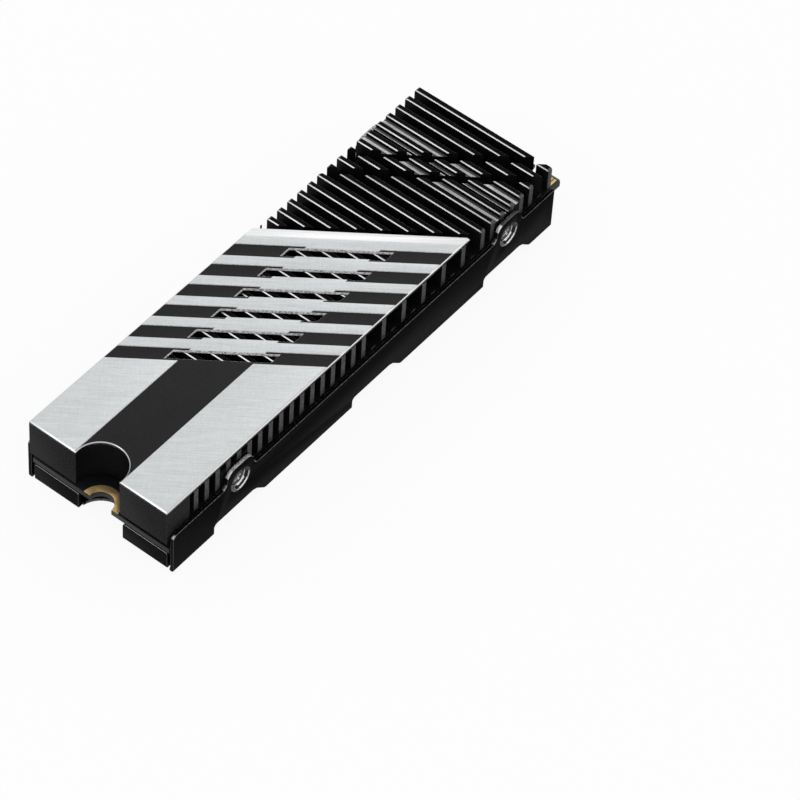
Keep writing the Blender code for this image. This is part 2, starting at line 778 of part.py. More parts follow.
def make_board():
    board = prism("circuit_board", board_outline(), "Z", board_bottom, board_top, SOLDER_MASK)
    ring = arc(board_front + RING_SETBACK, 0, NOTCH_RADIUS + RING_WIDTH, 90, -90, OPENING_STEPS)
    faces = {
        "top": (board_top - PLATING_ROOT, board_top + PLATING, FINGER_PITCH / 4),
        "bottom": (board_bottom + PLATING_ROOT, board_bottom - PLATING, -FINGER_PITCH / 4),
    }
    for face, (root, surface, shift) in faces.items():
        join(board, prism(f"{face}_ring", ring, "Z", root, surface))
        join(board, prisms(f"{face}_fingers", finger_outlines(shift), "Z", root, surface))

    below = board_bottom - OVERSHOOT
    above = board_top + OVERSHOOT
    cut(board, prism("screw_notch_cutter", front_notch(NOTCH_RADIUS), "Z", below, above))
    hole_row = board_half - TOOLING_HOLE_EDGE
    holes = [
        circle(board_front + TOOLING_HOLE_EDGE, hole_row - TOOLING_HOLE_PITCH * index, TOOLING_HOLE_RADIUS)
        for index in range(TOOLING_HOLES)
    ]
    cut(board, prisms("tooling_hole_cutter", holes, "Z", below, above))

    tip = board_tip + OVERSHOOT
    start = board_tip - TONGUE_BEVEL_LENGTH
    depth = TONGUE_BEVEL_DEPTH * (1 + OVERSHOOT / TONGUE_BEVEL_LENGTH)
    bevels = [
        [(start, board_top), (tip, board_top - depth), (tip, above), (start, above)],
        [(start, board_bottom), (start, below), (tip, below), (tip, board_bottom + depth)],
    ]
    for face, bevel in zip(("top", "bottom"), bevels):
        cut(board, prism(f"{face}_tip_cutter", bevel, "Y", -board_half, board_half))


def mounted(rise, facing):
    """The height of a level of a soldered part, above the board's top face or below its underside."""
    base = board_top + SOLDER_GAP if facing > 0 else board_bottom - SOLDER_GAP
    return base + facing * rise


def make_part(name, finish, outline_at, levels, facing=1):
    """A soldered part from its outline by inset, and levels of inset and rise."""
    rings = [[(x, y, mounted(rise, facing)) for x, y in outline_at(inset)] for inset, rise in levels]
    return layers(name, rings, finish)


def make_chip(name, start, middle_y, length, width, facing=1, thickness=CHIP_THICKNESS):
    def outline_at(inset):
        half = width / 2 - inset
        return rectangle(start + inset, middle_y - half, start + length - inset, middle_y + half)

    levels = ((0, 0), (0, thickness - CHIP_CHAMFER), (CHIP_CHAMFER, thickness))
    chip = make_part(name, MOULDING, outline_at, levels, facing)
    mark_x = start + length - PIN_MARK_SETBACK
    mark = circle(mark_x, middle_y + width / 2 - PIN_MARK_SETBACK, PIN_MARK_RADIUS)
    mark_floor = mounted(thickness - PIN_MARK_DEPTH, facing)
    cut(chip, prism(f"{name}_mark_cutter", mark, "Z", mark_floor, mounted(thickness + OVERSHOOT, facing)))


def make_inductor(name, start, row):
    def outline_at(inset):
        half = INDUCTOR_WIDTH / 2 - inset
        end = start + INDUCTOR_LENGTH - inset
        return rounded_rectangle(start + inset, row - half, end, row + half, INDUCTOR_RADIUS - inset)

    levels = ((0, 0), (0, INDUCTOR_HEIGHT - CHIP_CHAMFER), (CHIP_CHAMFER, INDUCTOR_HEIGHT))
    make_part(name, FERRITE, outline_at, levels)


def make_capacitor(name, start, row, size):
    """A two-ended part of a length, width and height, with its end caps a little wider than its body."""
    length, width, height = size
    end = start + length
    half = width / 2
    waist = half - CAPACITOR_WAIST
    near = start + CAPACITOR_CAP
    far = end - CAPACITOR_CAP
    lower = [(start, -half), (near, -half), (near, -waist), (far, -waist), (far, -half), (end, -half)]
    outline = [(x, row + y) for x, y in lower] + [(x, row - y) for x, y in reversed(lower)]
    make_part(name, CERAMIC, lambda inset: outline, ((0, 0), (0, height)))


def make_crystal(start, row):
    def outline_at(inset):
        half = CRYSTAL_WIDTH / 2 - inset
        return rectangle(start + inset, row - half, start + CRYSTAL_LENGTH - inset, row + half)

    rim = CRYSTAL_HEIGHT / 2
    levels = ((0, 0), (0, rim), (CRYSTAL_RIM, rim), (CRYSTAL_RIM, CRYSTAL_HEIGHT))
    make_part("clock_crystal", CRYSTAL_CAN, outline_at, levels)


CAPACITOR = (CAPACITOR_LENGTH, CAPACITOR_WIDTH, CAPACITOR_HEIGHT)
COUPLING = (COUPLING_LENGTH, COUPLING_WIDTH, COUPLING_HEIGHT)


def make_board_parts():
    """The row of chips along the board, and the small parts beside and behind them."""
    edge_row = board_half - PART_EDGE
    memory_width = 2 * memory_half
    start = chips_start
    for number in (1, 2):
        make_chip(f"top_memory_chip_{number}", start, 0, chip_length, memory_width)
        make_chip(f"bottom_memory_chip_{number}", start, 0, chip_length, memory_width, -1)
        start += chip_length + CHIP_SPACING
    buffer_row = board_half - BUFFER_EDGE - BUFFER_WIDTH / 2
    make_chip("top_buffer_chip", start, buffer_row, BUFFER_LENGTH, BUFFER_WIDTH)
    make_chip("bottom_buffer_chip", start, buffer_row, BUFFER_LENGTH, BUFFER_WIDTH, -1)
    for index in range(3):
        place = start + index * (INDUCTOR_LENGTH + INDUCTOR_SPACING)
        make_inductor(f"inductor_{index + 1}", place, INDUCTOR_WIDTH / 2 - edge_row)

    start += BUFFER_LENGTH + CHIP_SPACING
    make_chip("controller_chip", start, 0, chip_length, 2 * controller_half)
    capacitor_row = edge_row - CAPACITOR_WIDTH / 2
    for index in range(3):
        place = start + index * CAPACITOR_PITCH
        for side, sign in screw_sides.items():
            name = f"{side}_capacitor_{index + 1}"
            make_capacitor(name, place, sign * capacitor_row, CAPACITOR)

    start = chips_end + CHIP_SPACING
    power_row = POWER_CHIP_SIZE / 2 - edge_row
    size = POWER_CHIP_SIZE
    make_chip("power_chip", start, power_row, size, size, thickness=POWER_CHIP_THICKNESS)
    make_crystal(start, edge_row - CRYSTAL_WIDTH / 2)
    coupling_start = board_shoulder - COUPLING_SETBACK - COUPLING_LENGTH
    for index in range(4):
        row = COUPLING_PITCH * (index - 1.5)
        name = f"coupling_capacitor_{index + 1}"
        make_capacitor(name, coupling_start, row, COUPLING)


# Pads and label

def make_sheets():
    label_half = memory_half - LABEL_MARGIN
    label_start = chips_start + LABEL_MARGIN
    label = rounded_rectangle(label_start, -label_half, chips_end - LABEL_MARGIN, label_half, LABEL_RADIUS)
    prism("drive_label", label, "Z", label_bottom, label_bottom + LABEL_THICKNESS, LABEL_FILM)
    pad_half = pocket_half - PAD_MARGIN
    pad_end = heatsink_end - RIM_WIDTH - PAD_REAR_SETBACK
    sheets = {
        "upper_thermal_pad": (block_end + SEAT, upper_pad_bottom, upper_pad_top, GREY_PAD),
        "lower_thermal_pad": (board_front + TRAY_NOTCH_RADIUS, lower_pad_bottom, lower_pad_top, BLUE_PAD),
    }
    for name, (start, bottom, top, finish) in sheets.items():
        outline = rounded_rectangle(start, -pad_half, pad_end, pad_half, PAD_RADIUS)
        prism(name, outline, "Z", bottom, top, finish)


def main():
    clear_scene()
    make_heatsink()
    make_plate()
    make_tray()
    make_screws()
    make_board()
    make_board_parts()
    make_sheets()


if __name__ == "__main__":
    main()
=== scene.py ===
"""Solid state drive in its heatsink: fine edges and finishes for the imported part, and a stage."""

import json
import math

import bpy
from bpy.props import FloatProperty, FloatVectorProperty, PointerProperty
from mathutils import Euler, Matrix, Quaternion, Vector


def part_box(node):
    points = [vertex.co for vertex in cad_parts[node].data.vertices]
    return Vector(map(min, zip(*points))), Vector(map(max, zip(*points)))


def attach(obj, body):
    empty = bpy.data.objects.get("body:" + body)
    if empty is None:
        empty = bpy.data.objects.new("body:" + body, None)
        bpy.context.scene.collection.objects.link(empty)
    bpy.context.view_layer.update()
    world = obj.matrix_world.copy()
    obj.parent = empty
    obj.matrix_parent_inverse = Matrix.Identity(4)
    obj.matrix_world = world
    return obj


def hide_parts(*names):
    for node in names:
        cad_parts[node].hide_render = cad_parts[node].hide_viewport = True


bl_info = {
    "name": "Heatsink Drive",
    "version": (1, 0, 0),
    "blender": (4, 5, 0),
    "location": "View3D > Sidebar > Drive",
    "description": "Builds the look of a solid state drive in its heatsink",
    "category": "Object",
}

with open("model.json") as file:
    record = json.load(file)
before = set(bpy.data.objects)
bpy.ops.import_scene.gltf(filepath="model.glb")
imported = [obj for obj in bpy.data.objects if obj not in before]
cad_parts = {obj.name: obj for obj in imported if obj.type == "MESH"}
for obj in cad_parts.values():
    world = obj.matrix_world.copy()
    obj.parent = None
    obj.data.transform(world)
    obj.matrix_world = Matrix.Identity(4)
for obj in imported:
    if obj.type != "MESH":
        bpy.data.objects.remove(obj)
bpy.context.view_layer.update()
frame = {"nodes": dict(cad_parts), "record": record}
MM = 0.001
BODY = "root"

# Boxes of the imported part, which the places below start from
heatsink_low, heatsink_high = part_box("finned_heatsink")
plate_low, plate_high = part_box("top_plate")
tray_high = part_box("base_tray")[1]
board_low, board_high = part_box("circuit_board")
SCREWS = [name for name in frame["nodes"] if name.startswith("screw_")]
screw_boxes = [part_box(name) for name in SCREWS]
SCREW_ROWS = sorted({round((low.x + high.x) / 2, 6) for low, high in screw_boxes})
SCREW_AXIS = (screw_boxes[0][0].z + screw_boxes[0][1].z) / 2

# Heatsink, lengthwise: the fins, the front block and the fins that the plate leaves bare
FIN_START = heatsink_low.x + 5.05 * MM
FIN_PITCH = 2.01 * MM
FIN_THICKNESS = 0.8 * MM
BLOCK_FRONT = heatsink_low.x + 0.1 * MM
BLOCK_END = heatsink_low.x + 4.35 * MM
BARE_START = heatsink_high.x - 26.0 * MM
NOTCH_REACH = 3.8 * MM

# Heatsink, across and upwards: the fins' ends and top edges, and the tops of the screw bosses
FIN_SIDE = heatsink_high.y - 0.1 * MM
FIN_FOOT = heatsink_high.z - 3.75 * MM
CROWN = heatsink_high.z - 0.6 * MM
BOSS_HIGH = heatsink_high.z - 0.9 * MM
BOSS_LOW = heatsink_high.z - 1.1 * MM

# Plate: its slanted end, the level of its stripes and the field of its slots
SLANT = math.radians(37.6)
STRIPE_LEVEL = plate_high.z - 0.06 * MM
SLOT_START = plate_low.x + 4.2 * MM
SLOT_SIDE = plate_high.y - 1.5 * MM

# Tray: its upper edges, its side walls, its ears and the screw seats in them
EDGE_FOOT = 2.7 * MM
WALL_SIDE = tray_high.y - 0.65 * MM
EAR_FOOT = SCREW_AXIS + 1.2 * MM
SEAT_NEAR, SEAT_FAR = 1.3 * MM, 2.0 * MM

# Screws, and the board's copper
HEAD_HEIGHT = 0.45 * MM
HEAD_SIDES = 48
SHAFT_RADIUS = 0.6 * MM
RECESS_RIM = 0.04 * MM
RECESS_HEART = 0.25 * MM
RECESS_TAPER = 0.62
COPPER = 0.045 * MM

# Share of a face's normal on one axis: below SLOPED it turns aside, above FLAT it lies along it
SLOPED = 0.3
FLAT = 0.97

# Sockets of a Mix node that mixes colours
MIX_SHARE, MIX_FIRST, MIX_SECOND, MIX_RESULT = 0, 6, 7, 2


# Settings

def colour_property(name, description, default):
    return FloatVectorProperty(
        name=name, description=description, default=default, size=3, min=0.0, max=1.0,
        subtype="COLOR",
    )


def length_property(name, description, default):
    return FloatProperty(
        name=name, description=description, default=default, min=0.0, subtype="DISTANCE",
        unit="LENGTH",
    )


def strength_property(name, description, default):
    return FloatProperty(name=name, description=description, default=default, min=0.0)


def angle_property(name, description, degrees):
    return FloatProperty(
        name=name, description=description, default=math.radians(degrees), subtype="ANGLE"
    )


class FinishSettings(bpy.types.PropertyGroup):
    """Colours of the visible finishes."""

    anodised: colour_property(
        "Anodised black", "Blasted black of the finned block", (0.0056, 0.0056, 0.0059)
    )
    # Painted shade: the deeper black that the fins and the notch walls get where shade falls between
    # them
    fin: colour_property("Fin black", "Deeper black between the fins", (0.0036, 0.0036, 0.0038))
    stripe: colour_property(
        "Stripe black", "Black of the recessed stripes on the plate", (0.0125, 0.0120, 0.0120)
    )
    silver: colour_property(
        "Silver", "Bare brushed aluminium of the plate", (0.72, 0.745, 0.755)
    )
    # Bright cut metal on the plate's edges and slot walls, and the base of the painted highlights and
    # glints on fin, tray and screw edges
    cut_metal_and_highlight: colour_property(
        "Machined edge", "Bright edges cut after the black finish", (0.80, 0.80, 0.81)
    )
    # Worn edges, and the base of the painted highlights on the tray's front roundings and of the
    # painted lit strips on the boss tops
    worn_and_highlight: colour_property("Worn edge", "Edges where the black coat is thin", (0.24, 0.24, 0.245))
    tray: colour_property("Tray black", "Satin black of the sheet tray", (0.0045, 0.0042, 0.0044))
    screw: colour_property(
        "Screw black", "Blackened steel of the side screws", (0.018, 0.018, 0.019)
    )
    pad: colour_property("Pad blue", "Blue of the lower thermal pad", (0.16, 0.21, 0.50))
    gold: colour_property("Gold", "Plated contacts and notch rings", (0.78, 0.55, 0.24))
    mask: colour_property(
        "Solder mask", "Black lacquer of the circuit board", (0.009, 0.010, 0.011)
    )


class EdgeSettings(bpy.types.PropertyGroup):
    """Widths of the small rounded edges."""

    fin: length_property("Fin edge", "Rounding on the heatsink's edges", 0.05 * MM)
    plate: length_property("Plate edge", "Rounding on the plate's edges", 0.05 * MM)
    tray: length_property("Tray edge", "Rounding on the sheet's cut edges", 0.1 * MM)
    board: length_property("Board edge", "Rounding on the board's edges", 0.02 * MM)


class ScrewSettings(bpy.types.PropertyGroup):
    """Sizes of a side screw that its CAD solid doesn't give."""

    dome: length_property("Dome", "Rounding on the head's rim", 0.16 * MM)
    cross_width: length_property("Cross width", "Width of one arm of the recess", 0.38 * MM)
    cross_length: length_property("Cross length", "Length across the recess", 1.5 * MM)
    cross_depth: length_property("Cross depth", "Depth of the recess", 0.3 * MM)
    cross_edge: length_property("Cross edge", "Rounding on the recess's edges", 0.02 * MM)


class StageSettings(bpy.types.PropertyGroup):
    """The floor, the light and the camera."""

    floor_colour: colour_property("Floor", "Colour of the floor", (0.93, 0.93, 0.93))
    floor_lift: FloatProperty(
        name="Floor lift", description="Share of white that the camera sees in the floor",
        default=0.91, min=0.0, max=1.0, subtype="FACTOR",
    )
    world_strength: strength_property("World", "Strength of the even light", 0.85)
    front_power: strength_property("Front", "Power of the lamp in front", 0.6)
    side_power: strength_property("Side", "Power of the lamp at the side", 0.3)
    rear_power: strength_property("Rear", "Power of the low lamp behind", 0.14)
    lens: FloatProperty(
        name="Lens", description="Focal length of the camera", default=201.46,
        subtype="DISTANCE_CAMERA",
    )
    azimuth: angle_property("Azimuth", "Turn of the camera", -54.364)
    elevation: angle_property("Elevation", "Height angle of the camera", 49.872)
    roll: angle_property("Roll", "Tilt of the camera", 4.055)
    aim: FloatVectorProperty(
        name="Aim", description="Place on the middle of the view",
        default=(-3.66 * MM, -17.93 * MM, 5.00 * MM), size=3, subtype="TRANSLATION", unit="LENGTH",
    )
    distance: length_property("Distance", "From the camera to the aim", 558.0 * MM)


# Shader maths

class Value:
    """A shader socket that Python's operators work on."""

    def __init__(self, finish, socket):
        self.finish = finish
        self.socket = socket

    def maths(self, operation, *others):
        return self.finish.maths(operation, self, *others)

    def __add__(self, other):
        return self.maths("ADD", other)

    def __sub__(self, other):
        return self.maths("SUBTRACT", other)

    def __mul__(self, other):
        return self.maths("MULTIPLY", other)

    def __rsub__(self, other):
        return self.finish.maths("SUBTRACT", other, self)

    __radd__ = __add__
    __rmul__ = __mul__

    def clamped(self):
        return self.maths("MAXIMUM", 0.0).maths("MINIMUM", 1.0)


class Finish:
    """A material on object coordinates, built around its Principled shader."""

    def __init__(self, name, roughness, metallic=0.0, **fixed):
        self.material = bpy.data.materials.new(name)
        self.material.use_nodes = True
        self.tree = self.material.node_tree
        self.shader = self.tree.nodes["Principled BSDF"]
        self.feed("Roughness", roughness)
        self.feed("Metallic", metallic)
        for socket, value in fixed.items():
            self.feed(socket.replace("_", " "), value)
        self.place = self.node("ShaderNodeTexCoord", output="Object")

    def node(self, kind, settings=None, inputs=None, output=0):
        """One output of a new node, whose settings are made before its inputs."""
        made = self.tree.nodes.new(kind)
        for setting, value in (settings or {}).items():
            setattr(made, setting, value)
        for socket, value in (inputs or {}).items():
            self.connect(made.inputs[socket], value)
        return Value(self, made.outputs[output])

    def maths(self, operation, *values):
        return self.node("ShaderNodeMath", {"operation": operation}, dict(enumerate(values)))

    def connect(self, socket, value):
        if isinstance(value, Value):
            self.tree.links.new(value.socket, socket)
        else:
            socket.default_value = value

    def feed(self, socket, value):
        self.connect(self.shader.inputs[socket], value)

    def turned(self, turn, scale):
        """Object coordinates turned about Z first and then scaled, with a Mapping of type Texture."""
        shrink = tuple(1.0 / part for part in scale)
        inputs = {"Vector": self.place, "Rotation": (0.0, 0.0, turn), "Scale": shrink}
        return self.node("ShaderNodeMapping", {"vector_type": "TEXTURE"}, inputs)

    def axis(self, name):
        return self.node("ShaderNodeSeparateXYZ", None, {"Vector": self.place}, name)

    def noise(self, scale, detail=2.0, place=None, roughness=0.5):
        """A noise pattern with that many features in a metre, or in one unit of another place."""
        inputs = {
            "Vector": place or self.place, "Scale": scale, "Detail": detail,
            "Roughness": roughness,
        }
        return self.node("ShaderNodeTexNoise", None, inputs)

    def streaks(self, scale, turn=0.0, detail=3.0, roughness=0.5):
        """A noise pattern with its own number of features in a metre on each turned axis."""
        return self.noise(1.0, detail, self.turned(turn, scale), roughness)

    def tint(self, share, colour, first=1.0, second=1.0):
        """Colour the surface between two shades of one colour."""
        inputs = {
            MIX_SHARE: share, MIX_FIRST: (*shade(colour, first), 1.0),
            MIX_SECOND: (*shade(colour, second), 1.0),
        }
        mixed = self.node("ShaderNodeMix", {"data_type": "RGBA"}, inputs, MIX_RESULT)
        self.feed("Base Color", mixed)

    def roughen(self, pattern, least, spread):
        self.feed("Roughness", least + pattern * spread)

    def bump(self, height, distance):
        inputs = {"Height": height, "Distance": distance, "Strength": 1.0}
        self.feed("Normal", self.node("ShaderNodeBump", None, inputs))


def shade(colour, factor):
    return tuple(min(1.0, part * factor) for part in colour)


# Finishes

def black_finish(name, colour, roughness=0.45, specks=1.6, scale=6500.0, gloss=0.02):
    """A thin black finish on blasted metal, with fine specks and soft clouds."""
    finish = Finish(name, roughness, Specular_IOR_Level=gloss)
    grain = finish.noise(scale).maths("POWER", 3.0) * 2.5
    cloud = finish.noise(220.0, 3.0)
    finish.tint((grain * 0.7 + cloud * 0.3).clamped(), colour, 0.55, 1.0 + specks)
    finish.roughen(grain, roughness - 0.06, 0.12)
    finish.bump(grain, 0.006 * MM)
    return finish.material


def machined_and_highlight_finish(name, colour, turn=0.0, roughness=0.3, contrast=0.14, metallic=1.0):
    """Bright cut metal with fine tool lines, also used to paint highlights and glints on edges and in
    the screws' recesses.
    """
    finish = Finish(name, roughness, metallic)
    lines = finish.streaks((9000.0, 500.0, 9000.0), turn)
    finish.tint(lines, colour, 1.0 - contrast, 1.0 + contrast)
    finish.roughen(lines, roughness - 0.05, 0.14)
    finish.bump(lines, 0.003 * MM)
    return finish.material


def sparkling_finish(name, colour, scale=5200.0, metallic=0.35, cover=0.62):
    """Coarse milled metal that glints in specks, so rough that it scatters most light; also used to
    paint highlights on the tray's ears and front roundings.
    """
    finish = Finish(name, 0.55, metallic)
    glints = finish.noise(scale)
    finish.tint(((glints - (1.0 - cover)) * 4.0).clamped(), colour, 0.3, 1.3)
    finish.bump(glints, 0.01 * MM)
    return finish.material


def milled_lit_strip_finish(name, colour, *strips):
    """Floors that a cutter left across the block, with painted light on strips along the fins and
    painted shade beside them.

    Each strip is its middle and half its width, as shares of the fins' pitch.
    """
    finish = Finish(name, 0.45, 0.3)
    along = ((finish.axis("X") - FIN_START) * (1.0 / FIN_PITCH)).maths("FRACT")
    strip = sum([along.maths("COMPARE", middle, half) for middle, half in strips], start=0.0)
    passes = finish.streaks((2600.0, 160.0, 2600.0), roughness=0.6)
    glints = finish.noise(6000.0, 1.0)
    spread = (((passes * 0.7 + glints * 0.3) - 0.28) * 3.6).clamped()
    # Painted light on the strips, and painted shade beside them where the floor is kept to a tenth as
    # bright
    finish.tint(spread * (strip * 0.9 + 0.1), colour, 0.06, 1.5)
    finish.bump(passes, 0.012 * MM)
    return finish.material


def ring_highlight_finish(name, colour, *rings):
    """A turned seat around the screws' axes, with painted highlights in narrow rings and dark between
    them.

    Each ring is its radius and half its width.
    """
    finish = Finish(name, 0.25, 1.0)
    along, up = finish.axis("X"), finish.axis("Z") - SCREW_AXIS
    near, far = [(along - row).maths("ABSOLUTE") for row in SCREW_ROWS]
    across = near.maths("MINIMUM", far)
    reach = (across * across + up * up).maths("SQRT")
    lit = sum([reach.maths("COMPARE", radius, width) for radius, width in rings], start=0.0)
    tool = finish.noise(9000.0, 1.0)
    finish.tint((lit * (tool * 0.5 + 0.75)).clamped(), colour, 0.04)
    finish.bump(tool, 0.003 * MM)
    return finish.material


def brushed_finish(name, colour):
    """Brushed silver, with the grain along the plate's slanted end."""
    finish = Finish(name, 0.4, 1.0)
    fine = finish.streaks((6500.0, 230.0, 3000.0), SLANT, detail=4.0, roughness=0.6)
    broad = finish.streaks((1800.0, 80.0, 400.0), SLANT, detail=2.0)
    cross = finish.streaks((700.0, 5000.0, 400.0), SLANT)
    speckle = finish.noise(5200.0)
    grain = fine * 0.45 + broad * 0.15 + cross * 0.15 + speckle * 0.25
    finish.tint(((grain - 0.5) * 3.4 + 0.5).clamped(), colour, 0.84, 1.13)
    finish.roughen(grain, 0.34, 0.14)
    finish.bump(fine, 0.004 * MM)
    return finish.material


def pad_finish(name, colour):
    """Soft filled silicone with a faint weave and a thin sheen of carrier film."""
    finish = Finish(name, 0.5, Coat_Roughness=0.25)
    inputs = {"Vector": finish.place, "Scale": 2600.0}
    weave = finish.node("ShaderNodeTexVoronoi", None, inputs)
    cloud = finish.noise(300.0, 3.0)
    finish.tint(cloud * 0.7 + weave * 0.3, colour, 0.7, 1.4)
    finish.feed("Coat Weight", 0.25 + cloud * 0.2)
    finish.bump(weave * 0.5 + cloud, 0.02 * MM)
    return finish.material


def lacquer_finish(name, colour):
    """Solder mask over etched copper lines."""
    finish = Finish(name, 0.3, Specular_IOR_Level=0.35)
    inputs = {
        "Vector": finish.turned(math.radians(45), (1.0, 1.0, 0.001)),
        "Scale": 1.0,
        "Mortar Size": 0.07 * MM,
        "Brick Width": 4.2 * MM,
        "Row Height": 0.32 * MM,
    }
    lines = finish.node("ShaderNodeTexBrick", {"offset": 0.37, "squash": 0.8}, inputs, "Fac")
    grain = finish.noise(5000.0)
    finish.tint(lines, colour, 1.5)
    finish.roughen(grain, 0.27, 0.1)
    finish.bump(lines * -1.0 + grain * 0.1, 0.01 * MM)
    return finish.material


def moulded_finish(name, colour, roughness=0.6):
    """Matte filled plastic or ceramic, finely pitted."""
    finish = Finish(name, roughness)
    pits = finish.noise(7000.0, 3.0)
    finish.tint(pits, colour, 0.75, 1.35)
    finish.roughen(pits, roughness - 0.08, 0.16)
    finish.bump(pits, 0.008 * MM)
    return finish.material


def floor_finish(name, colour, lift):
    """A pale floor that the camera sees lifted to white, with the object's shadow kept."""
    finish = Finish(name, 0.9, Specular_IOR_Level=0.0)
    finish.tint(finish.noise(900.0), colour, 0.99, 1.01)
    rays = [
        finish.node("ShaderNodeLightPath", output=kind)
        for kind in ("Is Camera Ray", "Is Glossy Ray", "Is Transmission Ray")
    ]
    share = sum(rays, start=0.0).clamped() * lift
    glow = {"Color": (1.0, 1.0, 1.0, 1.0), "Strength": 1.0}
    white = finish.node("ShaderNodeEmission", None, glow, "Emission")
    plain = Value(finish, finish.shader.outputs["BSDF"])
    shown = finish.node("ShaderNodeMixShader", None, {0: share, 1: plain, 2: white})
    finish.connect(finish.tree.nodes["Material Output"].inputs["Surface"], shown)
    return finish.material


# Meshes

def select_only(*items):
    bpy.ops.object.select_all(action="DESELECT")
    for item in items:
        item.select_set(True)
    bpy.context.view_layer.objects.active = items[-1]


def edit_faces(item, chosen, action):
    """Run an edit mode action on the faces that a test picks by their middle and normal."""
    select_only(item)
    bpy.ops.object.mode_set(mode="EDIT")
    bpy.ops.mesh.select_mode(type="FACE")
    bpy.ops.mesh.select_all(action="DESELECT")
    bpy.ops.object.mode_set(mode="OBJECT")
    for face in item.data.polygons:
        face.select = chosen(face.center, face.normal)
    bpy.ops.object.mode_set(mode="EDIT")
    action()
    bpy.ops.object.mode_set(mode="OBJECT")


def dress(item, *choices):
    """Give the faces that each test picks a material of their own, later tests over earlier."""
    for material, chosen in choices:
        item.data.materials.append(material)
        item.active_material_index = len(item.data.materials) - 1
        edit_faces(item, chosen, bpy.ops.object.material_slot_assign)


def apply_modifier(item, kind, **settings):
    select_only(item)
    modifier = item.modifiers.new(kind.title(), kind)
    for setting, value in settings.items():
        setattr(modifier, setting, value)
    bpy.ops.object.modifier_apply(modifier=modifier.name)


def round_edges(item, width, segments, degrees, **settings):
    """Round the edges where the surface turns by more than that many degrees."""
    apply_modifier(
        item, "BEVEL", width=width, segments=segments, limit_method="ANGLE",
        angle_limit=math.radians(degrees), **settings,
    )


def refined_copy(node, name, material, edge, segments=2, cuts=()):
    """A merged copy of a CAD node with its flat faces joined and its sharp edges rounded.

    The flat faces are split again along the cuts, so that their sides can differ in finish.
    """
    item = frame["nodes"][node].copy()
    item.data = item.data.copy()
    item.name = name
    item.parent = None
    for key in list(item.keys()):
        del item[key]
    bpy.context.scene.collection.objects.link(item)
    select_only(item)
    item.data.materials.clear()
    item.data.materials.append(material)
    bpy.ops.object.mode_set(mode="EDIT")
    bpy.ops.mesh.select_all(action="SELECT")
    bpy.ops.mesh.remove_doubles(threshold=0.0005 * MM)
    bpy.ops.mesh.dissolve_limited(angle_limit=math.radians(0.5))
    for place, normal in cuts:
        bpy.ops.mesh.select_all(action="SELECT")
        bpy.ops.mesh.bisect(plane_co=place, plane_no=normal)
    bpy.ops.object.mode_set(mode="OBJECT")
    bpy.ops.object.shade_smooth()
    round_edges(
        item, edge, segments, degrees=25, use_clamp_overlap=True, loop_slide=False,
        harden_normals=True,
    )
    return item


def finish_piece(item, slot, *nodes):
    """Attach a finished piece to the body and hide the CAD nodes that it stands in for."""
    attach(item, BODY)
    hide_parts(*nodes)


# Tests that pick the heatsink's faces

def behind_block(middle, normal):
    return middle.x > BLOCK_END


def fin_end(middle, normal):
    on_fin = (middle.x - FIN_START) % FIN_PITCH < FIN_THICKNESS
    return on_fin and abs(normal.y) > 0.8 and abs(middle.y) > FIN_SIDE and middle.z > FIN_FOOT


def bare_fin_end(middle, normal):
    return middle.x > BARE_START and fin_end(middle, normal)


def crown_slope(middle, normal):
    return middle.z > CROWN and SLOPED < normal.z < FLAT


def boss_top(middle, normal):
    """Whether a face is a boss's top that the plate doesn't cover."""
    return middle.x > 0 and BOSS_LOW < middle.z < BOSS_HIGH and normal.z > FLAT


def grooved_boss_top(middle, normal):
    """Whether a face is the boss's top between the two fins in line with the rear screws."""
    return boss_top(middle, normal) and abs(middle.x - SCREW_ROWS[1]) < FIN_PITCH / 2


def notch_wall(middle, normal):
    reach = math.hypot(middle.x - board_low.x, middle.y)
    return middle.x > BLOCK_FRONT and reach < NOTCH_REACH


def front_corner(middle, normal):
    return middle.x < BLOCK_FRONT and 0.2 < abs(normal.y) < 0.98


def forward_crown(middle, normal):
    """Whether a face is the chamfer on a fin's top that faces forward."""
    rises_forward = normal.x < -0.5 and normal.z > 0.4 and abs(normal.y) < 0.2
    return middle.z > CROWN and rises_forward


# Tests that pick the plate's faces

def plate_dark(middle, normal):
    """Whether a face is a stripe's floor, an underside or a wall below the stripes."""
    upright = abs(normal.z) < SLOPED
    sunk = middle.z < STRIPE_LEVEL and (normal.z > 0.995 or upright)
    return sunk or normal.z < -0.5


def plate_edge(middle, normal):
    return SLOPED <= normal.z < 0.992


def plate_bevel(middle, normal):
    return plate_edge(middle, normal) and normal.x > 0.1


def slot_wall(middle, normal):
    in_field = abs(middle.y) < SLOT_SIDE and middle.x > SLOT_START
    return in_field and abs(normal.z) < SLOPED


# Tests that pick the tray's faces

def tray_front(middle, normal):
    return normal.x < -0.9


def front_rounding(middle, normal):
    return -0.95 < normal.x < -0.25 and abs(normal.z) < 0.5


def upper_edge(middle, normal):
    return middle.z > EDGE_FOOT and SLOPED < normal.z < 0.98


def lip_edge(middle, normal):
    return upper_edge(middle, normal) and abs(middle.y) < WALL_SIDE


def forward_wall_edge(middle, normal):
    on_wall = middle.z > EDGE_FOOT and abs(middle.y) > WALL_SIDE
    return on_wall and normal.x < -0.3 and normal.z > SLOPED


def ear_top(middle, normal):
    return middle.z > EAR_FOOT and normal.z > 0.5


def rear_ear_top(middle, normal):
    """Whether a face is the top of the rear ear on the camera's side."""
    return middle.x > 0 > middle.y and ear_top(middle, normal)


def ear_shoulder(middle, normal):
    return middle.z > EAR_FOOT and normal.x < -0.35 and normal.z > 0.35


